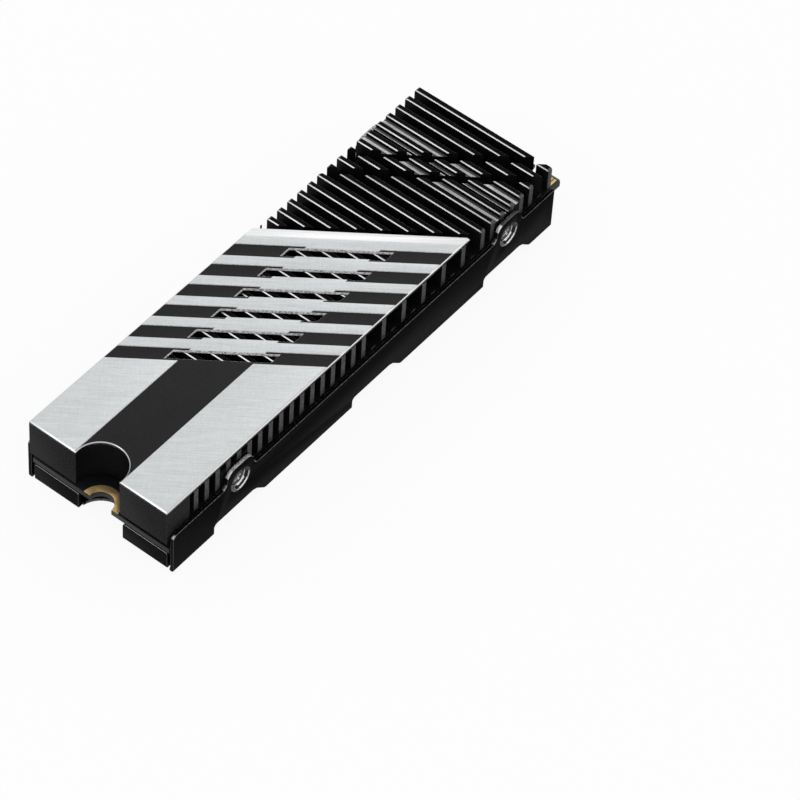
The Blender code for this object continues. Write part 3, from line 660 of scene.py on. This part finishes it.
def seat_slope(middle, normal):
    """Whether a face is on the upward side of the dish that a screw sits in."""
    reach = min(math.hypot(middle.x - row, middle.z - SCREW_AXIS) for row in SCREW_ROWS)
    sloped = 0.1 < abs(normal.y) < FLAT and normal.y * middle.y > 0
    return sloped and SEAT_NEAR < reach < SEAT_FAR and normal.z - 0.6 * normal.x > 0.66


def seat_foot(middle, normal):
    return seat_slope(middle, normal) and normal.z - 0.5 * normal.x > 0.9


class Builder:
    """What the operators share."""

    bl_options = {"REGISTER", "UNDO"}


class DRIVE_OT_heatsink(bpy.types.Operator, Builder):
    """Give the finned block its blasted black finish, painted shade between the fins, painted
    highlights on the fins' forward edges and milled boss tops with painted lit strips
    """

    bl_idname = "drive.heatsink"
    bl_label = "Finned heatsink"

    def execute(self, context):
        finishes = context.scene.drive_finishes
        worn_and_highlight = finishes.worn_and_highlight
        black = black_finish("blasted_black", finishes.anodised, specks=5.0, scale=4200.0)
        # Painted shade: a deeper black on the fins behind the block and on the notch walls
        painted_shade_black = black_finish("fin_black_painted_shade", finishes.fin, specks=2.0, gloss=0.01)
        thin = sparkling_finish("fin_edge_worn", shade(worn_and_highlight, 0.35))
        sawn = sparkling_finish("fin_end_sawn", shade(worn_and_highlight, 0.17), scale=4200.0)
        dull = sparkling_finish("bare_fin_end_sawn", shade(worn_and_highlight, 0.09), scale=4200.0)
        # Painted light: a bright strip on each boss top between the fins with painted shade beside
        # it, and two thin painted highlight lines in the gap by the rear screws
        milled = milled_lit_strip_finish("boss_top_painted_lit_strip", shade(worn_and_highlight, 2.1), (0.72, 0.10))
        painted_groove_lines = milled_lit_strip_finish(
            "boss_top_painted_groove_lines", shade(worn_and_highlight, 2.3), (0.58, 0.035), (0.80, 0.035)
        )
        # Painted highlight: bright metal colour on the chamfers of the fins' tops that face forward,
        # towards the front lamp
        bright = machined_and_highlight_finish("fin_edge_painted_highlight", shade(finishes.cut_metal_and_highlight, 0.6))
        edge = context.scene.drive_edges.fin
        block = refined_copy("finned_heatsink", "finned_block", black, edge, cuts=self.cuts())
        dress(
            block,
            # Painted shade between the fins
            (painted_shade_black, behind_block),
            (sawn, fin_end),
            (dull, bare_fin_end),
            (thin, crown_slope),
            # Painted light and shade on the boss tops
            (milled, boss_top),
            (painted_groove_lines, grooved_boss_top),
            # Painted shade in the notch
            (painted_shade_black, notch_wall),
            (thin, front_corner),
            # Painted highlight on the forward chamfers of the fin tops
            (bright, forward_crown),
        )
        finish_piece(block, "black_anodised", "finned_heatsink")
        return {"FINISHED"}

    def cuts(self):
        """Planes that part the front block, the fins' feet and the fins beside each screw."""
        cuts = [((BLOCK_END, 0, 0), (1, 0, 0)), ((0, 0, FIN_FOOT), (0, 0, 1))]
        for row in SCREW_ROWS:
            gap = math.floor((row - FIN_START) / FIN_PITCH)
            for index in range(gap - 1, gap + 2):
                fin = FIN_START + index * FIN_PITCH
                for place in (fin + FIN_THICKNESS, fin + FIN_PITCH):
                    cuts.append(((place, 0, 0), (1, 0, 0)))
        return cuts


class DRIVE_OT_plate(bpy.types.Operator, Builder):
    """Give the slotted plate its brushed face, black stripes and bright cut edges"""

    bl_idname = "drive.plate"
    bl_label = "Slotted plate"

    def execute(self, context):
        finishes = context.scene.drive_finishes
        cut_metal_and_highlight = finishes.cut_metal_and_highlight
        silver = brushed_finish("brushed_silver", finishes.silver)
        black = black_finish(
            "stripe_black", finishes.stripe, roughness=0.4, specks=0.6, gloss=0.18
        )
        bright = machined_and_highlight_finish("plate_bevel_bright", shade(cut_metal_and_highlight, 1.08), SLANT)
        line = machined_and_highlight_finish("plate_edge_line", shade(cut_metal_and_highlight, 0.75))
        milled = sparkling_finish(
            "slot_wall_milled", shade(cut_metal_and_highlight, 1.25), scale=3600.0, metallic=0.0, cover=0.66
        )
        edge = context.scene.drive_edges.plate
        plate = refined_copy("top_plate", "slotted_plate", silver, edge)
        dress(
            plate,
            (black, plate_dark),
            (line, plate_edge),
            (bright, plate_bevel),
            (milled, slot_wall),
        )
        finish_piece(plate, "brushed_plate", "top_plate")
        return {"FINISHED"}


class DRIVE_OT_tray(bpy.types.Operator, Builder):
    """Give the sheet tray its satin coat, with upper edges where the coat wears thin, a lit copy of
    the coat on its front faces and painted highlights on its front edges, ears and screw seats
    """

    bl_idname = "drive.tray"
    bl_label = "Sheet tray"

    def execute(self, context):
        finishes = context.scene.drive_finishes
        worn_and_highlight, cut_metal_and_highlight = finishes.worn_and_highlight, finishes.cut_metal_and_highlight
        satin = {"roughness": 0.4, "specks": 0.5, "scale": 2600.0}
        coat = black_finish("satin_black_coat", finishes.tray, gloss=0.004, **satin)
        # Painted light: the coat 1.8 times lighter on the faces that turn to the front lamp
        lit_front_coat = black_finish("satin_black_lit_front", shade(finishes.tray, 1.8), gloss=0.008, **satin)
        # Painted highlight: a pale colour on the front roundings, which turn towards the front lamp
        soft = sparkling_finish("tray_front_rounding_highlight", shade(worn_and_highlight, 0.3))
        thin = sparkling_finish("tray_edge_worn", shade(worn_and_highlight, 0.9))
        # Painted highlight: bright metal colour along the lips' upper edges and the walls' forward
        # upper edges
        bright = machined_and_highlight_finish("tray_edge_painted_highlight", shade(cut_metal_and_highlight, 0.45))
        # Painted highlight: a bright colour on the ears' tops, a much dimmer copy on the rear ear at
        # the camera's side, and bright metal on the shoulders that face the front lamp
        bare = sparkling_finish("ear_top_painted_highlight", shade(cut_metal_and_highlight, 0.75))
        rear_ear_dim_highlight = sparkling_finish("rear_ear_top_dim_highlight", shade(cut_metal_and_highlight, 0.10))
        shoulder_highlight = machined_and_highlight_finish(
            "ear_shoulder_painted_highlight", shade(cut_metal_and_highlight, 1.1), roughness=0.4, metallic=0.6
        )
        # Painted highlights: bright rings on the upward side of each screw seat, and a brighter
        # crescent at its foot
        ring = ring_highlight_finish(
            "seat_ring_highlight", shade(cut_metal_and_highlight, 0.5), (1.74 * MM, 0.03 * MM), (1.5 * MM, 0.025 * MM)
        )
        crescent = ring_highlight_finish(
            "seat_crescent_highlight", cut_metal_and_highlight, (1.74 * MM, 0.04 * MM), (1.52 * MM, 0.06 * MM)
        )
        tray = refined_copy("base_tray", "sheet_tray", coat, context.scene.drive_edges.tray)
        dress(
            tray,
            # Painted light on the front faces
            (lit_front_coat, tray_front),
            # Painted highlight on the front roundings
            (soft, front_rounding),
            (thin, upper_edge),
            # Painted highlights on the lips' and walls' upper edges
            (bright, lip_edge),
            (bright, forward_wall_edge),
            # Painted highlights on the ears' tops and shoulders
            (bare, ear_top),
            (rear_ear_dim_highlight, rear_ear_top),
            (shoulder_highlight, ear_shoulder),
            # Painted highlights on the screw seats
            (ring, seat_slope),
            (crescent, seat_foot),
        )
        finish_piece(tray, "black_sheet", "base_tray")
        return {"FINISHED"}


class DRIVE_OT_screws(bpy.types.Operator, Builder):
    """Model one side screw with its cross recess and set copies in the four seats"""

    bl_idname = "drive.screws"
    bl_label = "Side screws"

    def execute(self, context):
        sizes = context.scene.drive_screws
        finishes = context.scene.drive_finishes
        steel = machined_and_highlight_finish("blackened_steel", finishes.screw, roughness=0.28)
        # Painted glints: a pale matte colour on the upper rim of each head and on the arms of its
        # cross recess
        matte_glint = {"roughness": 0.5, "metallic": 0.0}
        glint = machined_and_highlight_finish("screw_glint", shade(finishes.cut_metal_and_highlight, 1.25), **matte_glint)
        recess = machined_and_highlight_finish("recess_glint", shade(finishes.cut_metal_and_highlight, 0.9), **matte_glint)
        low, high = screw_boxes[0]
        head_radius = (high.x - low.x) / 2
        length = high.y - low.y
        master = self.model_screw(sizes, head_radius, length)
        master.data.materials.clear()
        master.data.materials.append(steel)

        def recess_arm(middle, normal):
            """Whether a face of the cross recess lies out on one of its arms."""
            reach = math.hypot(middle.x, middle.y)
            inside = -0.5 < normal.z < 0.9 and middle.z < length - RECESS_RIM
            return inside and RECESS_HEART < reach < sizes.cross_length / 2

        # Painted glint in the cross recess
        dress(master, (recess, recess_arm))
        select_only(master)
        bpy.ops.object.shade_smooth_by_angle(angle=math.radians(35))
        for name, box in zip(SCREWS, screw_boxes):
            self.set_screw(context, master, name, box, head_radius - sizes.dome, glint)
        bpy.data.objects.remove(master)
        return {"FINISHED"}

    def model_screw(self, sizes, head_radius, length):
        """A screw that stands on its tip, with its head on top."""
        bpy.ops.object.select_all(action="DESELECT")
        bpy.ops.mesh.primitive_cylinder_add(
            vertices=HEAD_SIDES, radius=head_radius, depth=HEAD_HEIGHT,
            location=(0, 0, length - HEAD_HEIGHT / 2),
        )
        screw = bpy.context.object
        bpy.ops.object.transform_apply(location=True)

        def pull_shaft():
            bpy.ops.mesh.inset(thickness=head_radius - SHAFT_RADIUS)
            bpy.ops.mesh.extrude_region_move(
                TRANSFORM_OT_translate={"value": (0, 0, HEAD_HEIGHT - length)}
            )

        edit_faces(screw, self.faces_down, pull_shaft)
        round_edges(screw, sizes.dome, segments=4, degrees=40)
        for turn in (0, 90):
            self.cut_arm(screw, sizes, length, turn)
        round_edges(screw, sizes.cross_edge, segments=2, degrees=35)
        return screw

    def faces_down(self, middle, normal):
        return normal.z < -0.9

    def cut_arm(self, screw, sizes, length, turn):
        """Cut one bar of the cross with a block that narrows downwards."""
        bpy.ops.object.select_all(action="DESELECT")
        bpy.ops.mesh.primitive_cube_add(size=1, location=(0, 0, 0))
        block = bpy.context.object
        block.scale = (sizes.cross_length, sizes.cross_width, 2 * sizes.cross_depth)
        block.rotation_euler.z = math.radians(turn)
        block.location.z = length
        select_only(block)
        bpy.ops.object.transform_apply(location=True, rotation=True, scale=True)

        def narrow():
            bpy.ops.transform.resize(value=(RECESS_TAPER, RECESS_TAPER, 1.0))

        edit_faces(block, self.faces_down, narrow)
        apply_modifier(screw, "BOOLEAN", object=block, operation="DIFFERENCE", solver="EXACT")
        bpy.data.objects.remove(block)

    def set_screw(self, context, master, name, box, rim, glint):
        """Set a copy of the screw in its seat, with a glint on the upper side of its rim."""
        low, high = box
        outward = 1 if low.y + high.y > 0 else -1
        tip = low.y if outward > 0 else high.y
        seat = Vector(((low.x + high.x) / 2, tip, (low.z + high.z) / 2))
        screw = master.copy()
        screw.data = master.data.copy()
        screw.name = name.replace("screw", "cross_screw")
        context.scene.collection.objects.link(screw)
        turn = Euler((math.radians(-90 * outward), math.radians(25 * outward), 0))
        screw.data.transform(Matrix.Translation(seat) @ turn.to_matrix().to_4x4())

        def upper_rim(middle, normal):
            on_rim = math.hypot(middle.x - seat.x, middle.z - seat.z) > rim
            upward = normal.z - 0.5 * normal.x > 0.35
            return on_rim and 0.2 < normal.y * outward < 0.85 and upward

        dress(screw, (glint, upper_rim))
        finish_piece(screw, "black_screw", name)


class DRIVE_OT_board(bpy.types.Operator, Builder):
    """Give the board its lacquer, gold contacts and bare laminate edge"""

    bl_idname = "drive.board"
    bl_label = "Circuit board"

    def execute(self, context):
        finishes = context.scene.drive_finishes
        mask = lacquer_finish("black_lacquer", finishes.mask)
        laminate = moulded_finish("bare_laminate", (0.010, 0.0097, 0.008), roughness=0.7)
        gold = machined_and_highlight_finish(
            "plated_gold", finishes.gold, roughness=0.45, contrast=0.07, metallic=0.55
        )
        edge = context.scene.drive_edges.board
        board = refined_copy("circuit_board", "laminate_board", mask, edge, segments=1)

        def upright(middle, normal):
            return abs(normal.z) < 0.5

        def plated(middle, normal):
            return not board_low.z + COPPER < middle.z < board_high.z - COPPER

        dress(board, (laminate, upright), (gold, plated))
        finish_piece(board, "board_laminate", "circuit_board")
        return {"FINISHED"}


class DRIVE_OT_parts(bpy.types.Operator, Builder):
    """Give the soldered parts, the label and the pads their finishes"""

    bl_idname = "drive.parts"
    bl_label = "Board parts and pads"

    def execute(self, context):
        finishes = {
            "chip_moulding": moulded_finish("matte_moulding", (0.03, 0.03, 0.033)),
            "ferrite": moulded_finish("grey_ferrite", (0.10, 0.10, 0.105), roughness=0.65),
            "crystal_can": machined_and_highlight_finish("nickel_can", (0.62, 0.60, 0.56)),
            "capacitor_ceramic": moulded_finish(
                "tan_ceramic", (0.40, 0.30, 0.20), roughness=0.5
            ),
            "label_film": black_finish("black_label_film", (0.03, 0.03, 0.031)),
            "blue_pad": pad_finish("blue_silicone", context.scene.drive_finishes.pad),
            "grey_pad": pad_finish("grey_silicone", (0.30, 0.31, 0.33)),
        }
        for part in frame["record"]["subparts"]:
            if part["material_slot"] in finishes:
                node = frame["nodes"][part["node"]]
                node.data.materials.clear()
                node.data.materials.append(finishes[part["material_slot"]])
        return {"FINISHED"}


class DRIVE_OT_stage(bpy.types.Operator, Builder):
    """Lay the floor, hang the lamps and place the camera"""

    bl_idname = "drive.stage"
    bl_label = "Stage"

    def execute(self, context):
        stage = context.scene.drive_stage
        self.lay_floor(stage)
        self.light_world(context, stage.world_strength)
        self.hang_lamp(context, "front_lamp", (-0.62, 0.3, 0.4), stage.front_power)
        self.hang_lamp(context, "side_lamp", (0.42, -0.62, 0.3), stage.side_power)
        self.hang_lamp(context, "rear_lamp", (0.55, 0.42, 0.33), stage.rear_power, size=0.25)
        self.place_camera(context, stage)
        return {"FINISHED"}

    def lay_floor(self, stage):
        """Lay the floor a hair below the object, so that their faces don't meet."""
        bpy.ops.object.select_all(action="DESELECT")
        bpy.ops.mesh.primitive_plane_add(size=4.0, location=(0, 0, -0.02 * MM))
        floor = bpy.context.object
        floor.name = "studio_floor"
        pale = floor_finish("pale_floor", stage.floor_colour, stage.floor_lift)
        floor.data.materials.append(pale)

    def light_world(self, context, strength):
        world = bpy.data.worlds.new("studio_world")
        context.scene.world = world
        world.use_nodes = True
        background = world.node_tree.nodes["Background"]
        background.inputs["Color"].default_value = (1.0, 1.0, 1.0, 1.0)
        background.inputs["Strength"].default_value = strength

    def hang_lamp(self, context, name, place, power, size=0.3):
        """Hang a square lamp that points at the origin."""
        light = bpy.data.lights.new(name, "AREA")
        light.size = size
        light.energy = power
        lamp = bpy.data.objects.new(name, light)
        context.scene.collection.objects.link(lamp)
        lamp.location = place
        lamp.rotation_euler = Vector(place).to_track_quat("Z", "Y").to_euler()

    def place_camera(self, context, stage):
        flat = math.cos(stage.elevation)
        towards = Vector((
            math.sin(stage.azimuth) * flat,
            -math.cos(stage.azimuth) * flat,
            math.sin(stage.elevation),
        ))
        data = bpy.data.cameras.new("photo_camera")
        data.lens = stage.lens
        data.sensor_width = 36.0
        data.clip_start = 0.01
        camera = bpy.data.objects.new("photo_camera", data)
        context.scene.collection.objects.link(camera)
        camera.location = Vector(stage.aim) + towards * stage.distance
        turn = towards.to_track_quat("Z", "Y") @ Quaternion((0, 0, 1), stage.roll)
        camera.rotation_euler = turn.to_euler()
        context.scene.camera = camera


OPERATORS = (
    DRIVE_OT_heatsink, DRIVE_OT_plate, DRIVE_OT_tray, DRIVE_OT_screws, DRIVE_OT_board,
    DRIVE_OT_parts, DRIVE_OT_stage,
)
SETTINGS = {
    "drive_finishes": FinishSettings,
    "drive_edges": EdgeSettings,
    "drive_screws": ScrewSettings,
    "drive_stage": StageSettings,
}


class DRIVE_PT_panel(bpy.types.Panel):
    """Lists the steps that dress the drive, and their settings."""

    bl_idname = "DRIVE_PT_panel"
    bl_label = "Heatsink drive"
    bl_space_type = "VIEW_3D"
    bl_region_type = "UI"
    bl_category = "Drive"

    def draw(self, context):
        for operator in OPERATORS:
            self.layout.operator(operator.bl_idname)
        for group in SETTINGS:
            box = self.layout.box()
            settings = getattr(context.scene, group)
            for name in settings.bl_rna.properties.keys():
                if name not in ("rna_type", "name"):
                    box.prop(settings, name)


CLASSES = (*SETTINGS.values(), *OPERATORS, DRIVE_PT_panel)


def register():
    for group in CLASSES:
        bpy.utils.register_class(group)
    for name, group in SETTINGS.items():
        setattr(bpy.types.Scene, name, PointerProperty(type=group))


def unregister():
    for name in SETTINGS:
        delattr(bpy.types.Scene, name)
    for group in reversed(CLASSES):
        bpy.utils.unregister_class(group)


def main():
    register()
    bpy.context.scene.view_settings.view_transform = "Standard"
    bpy.ops.drive.heatsink()
    bpy.ops.drive.plate()
    bpy.ops.drive.tray()
    bpy.ops.drive.screws()
    bpy.ops.drive.board()
    bpy.ops.drive.parts()
    bpy.ops.drive.stage()


if __name__ == "__main__":
    main()
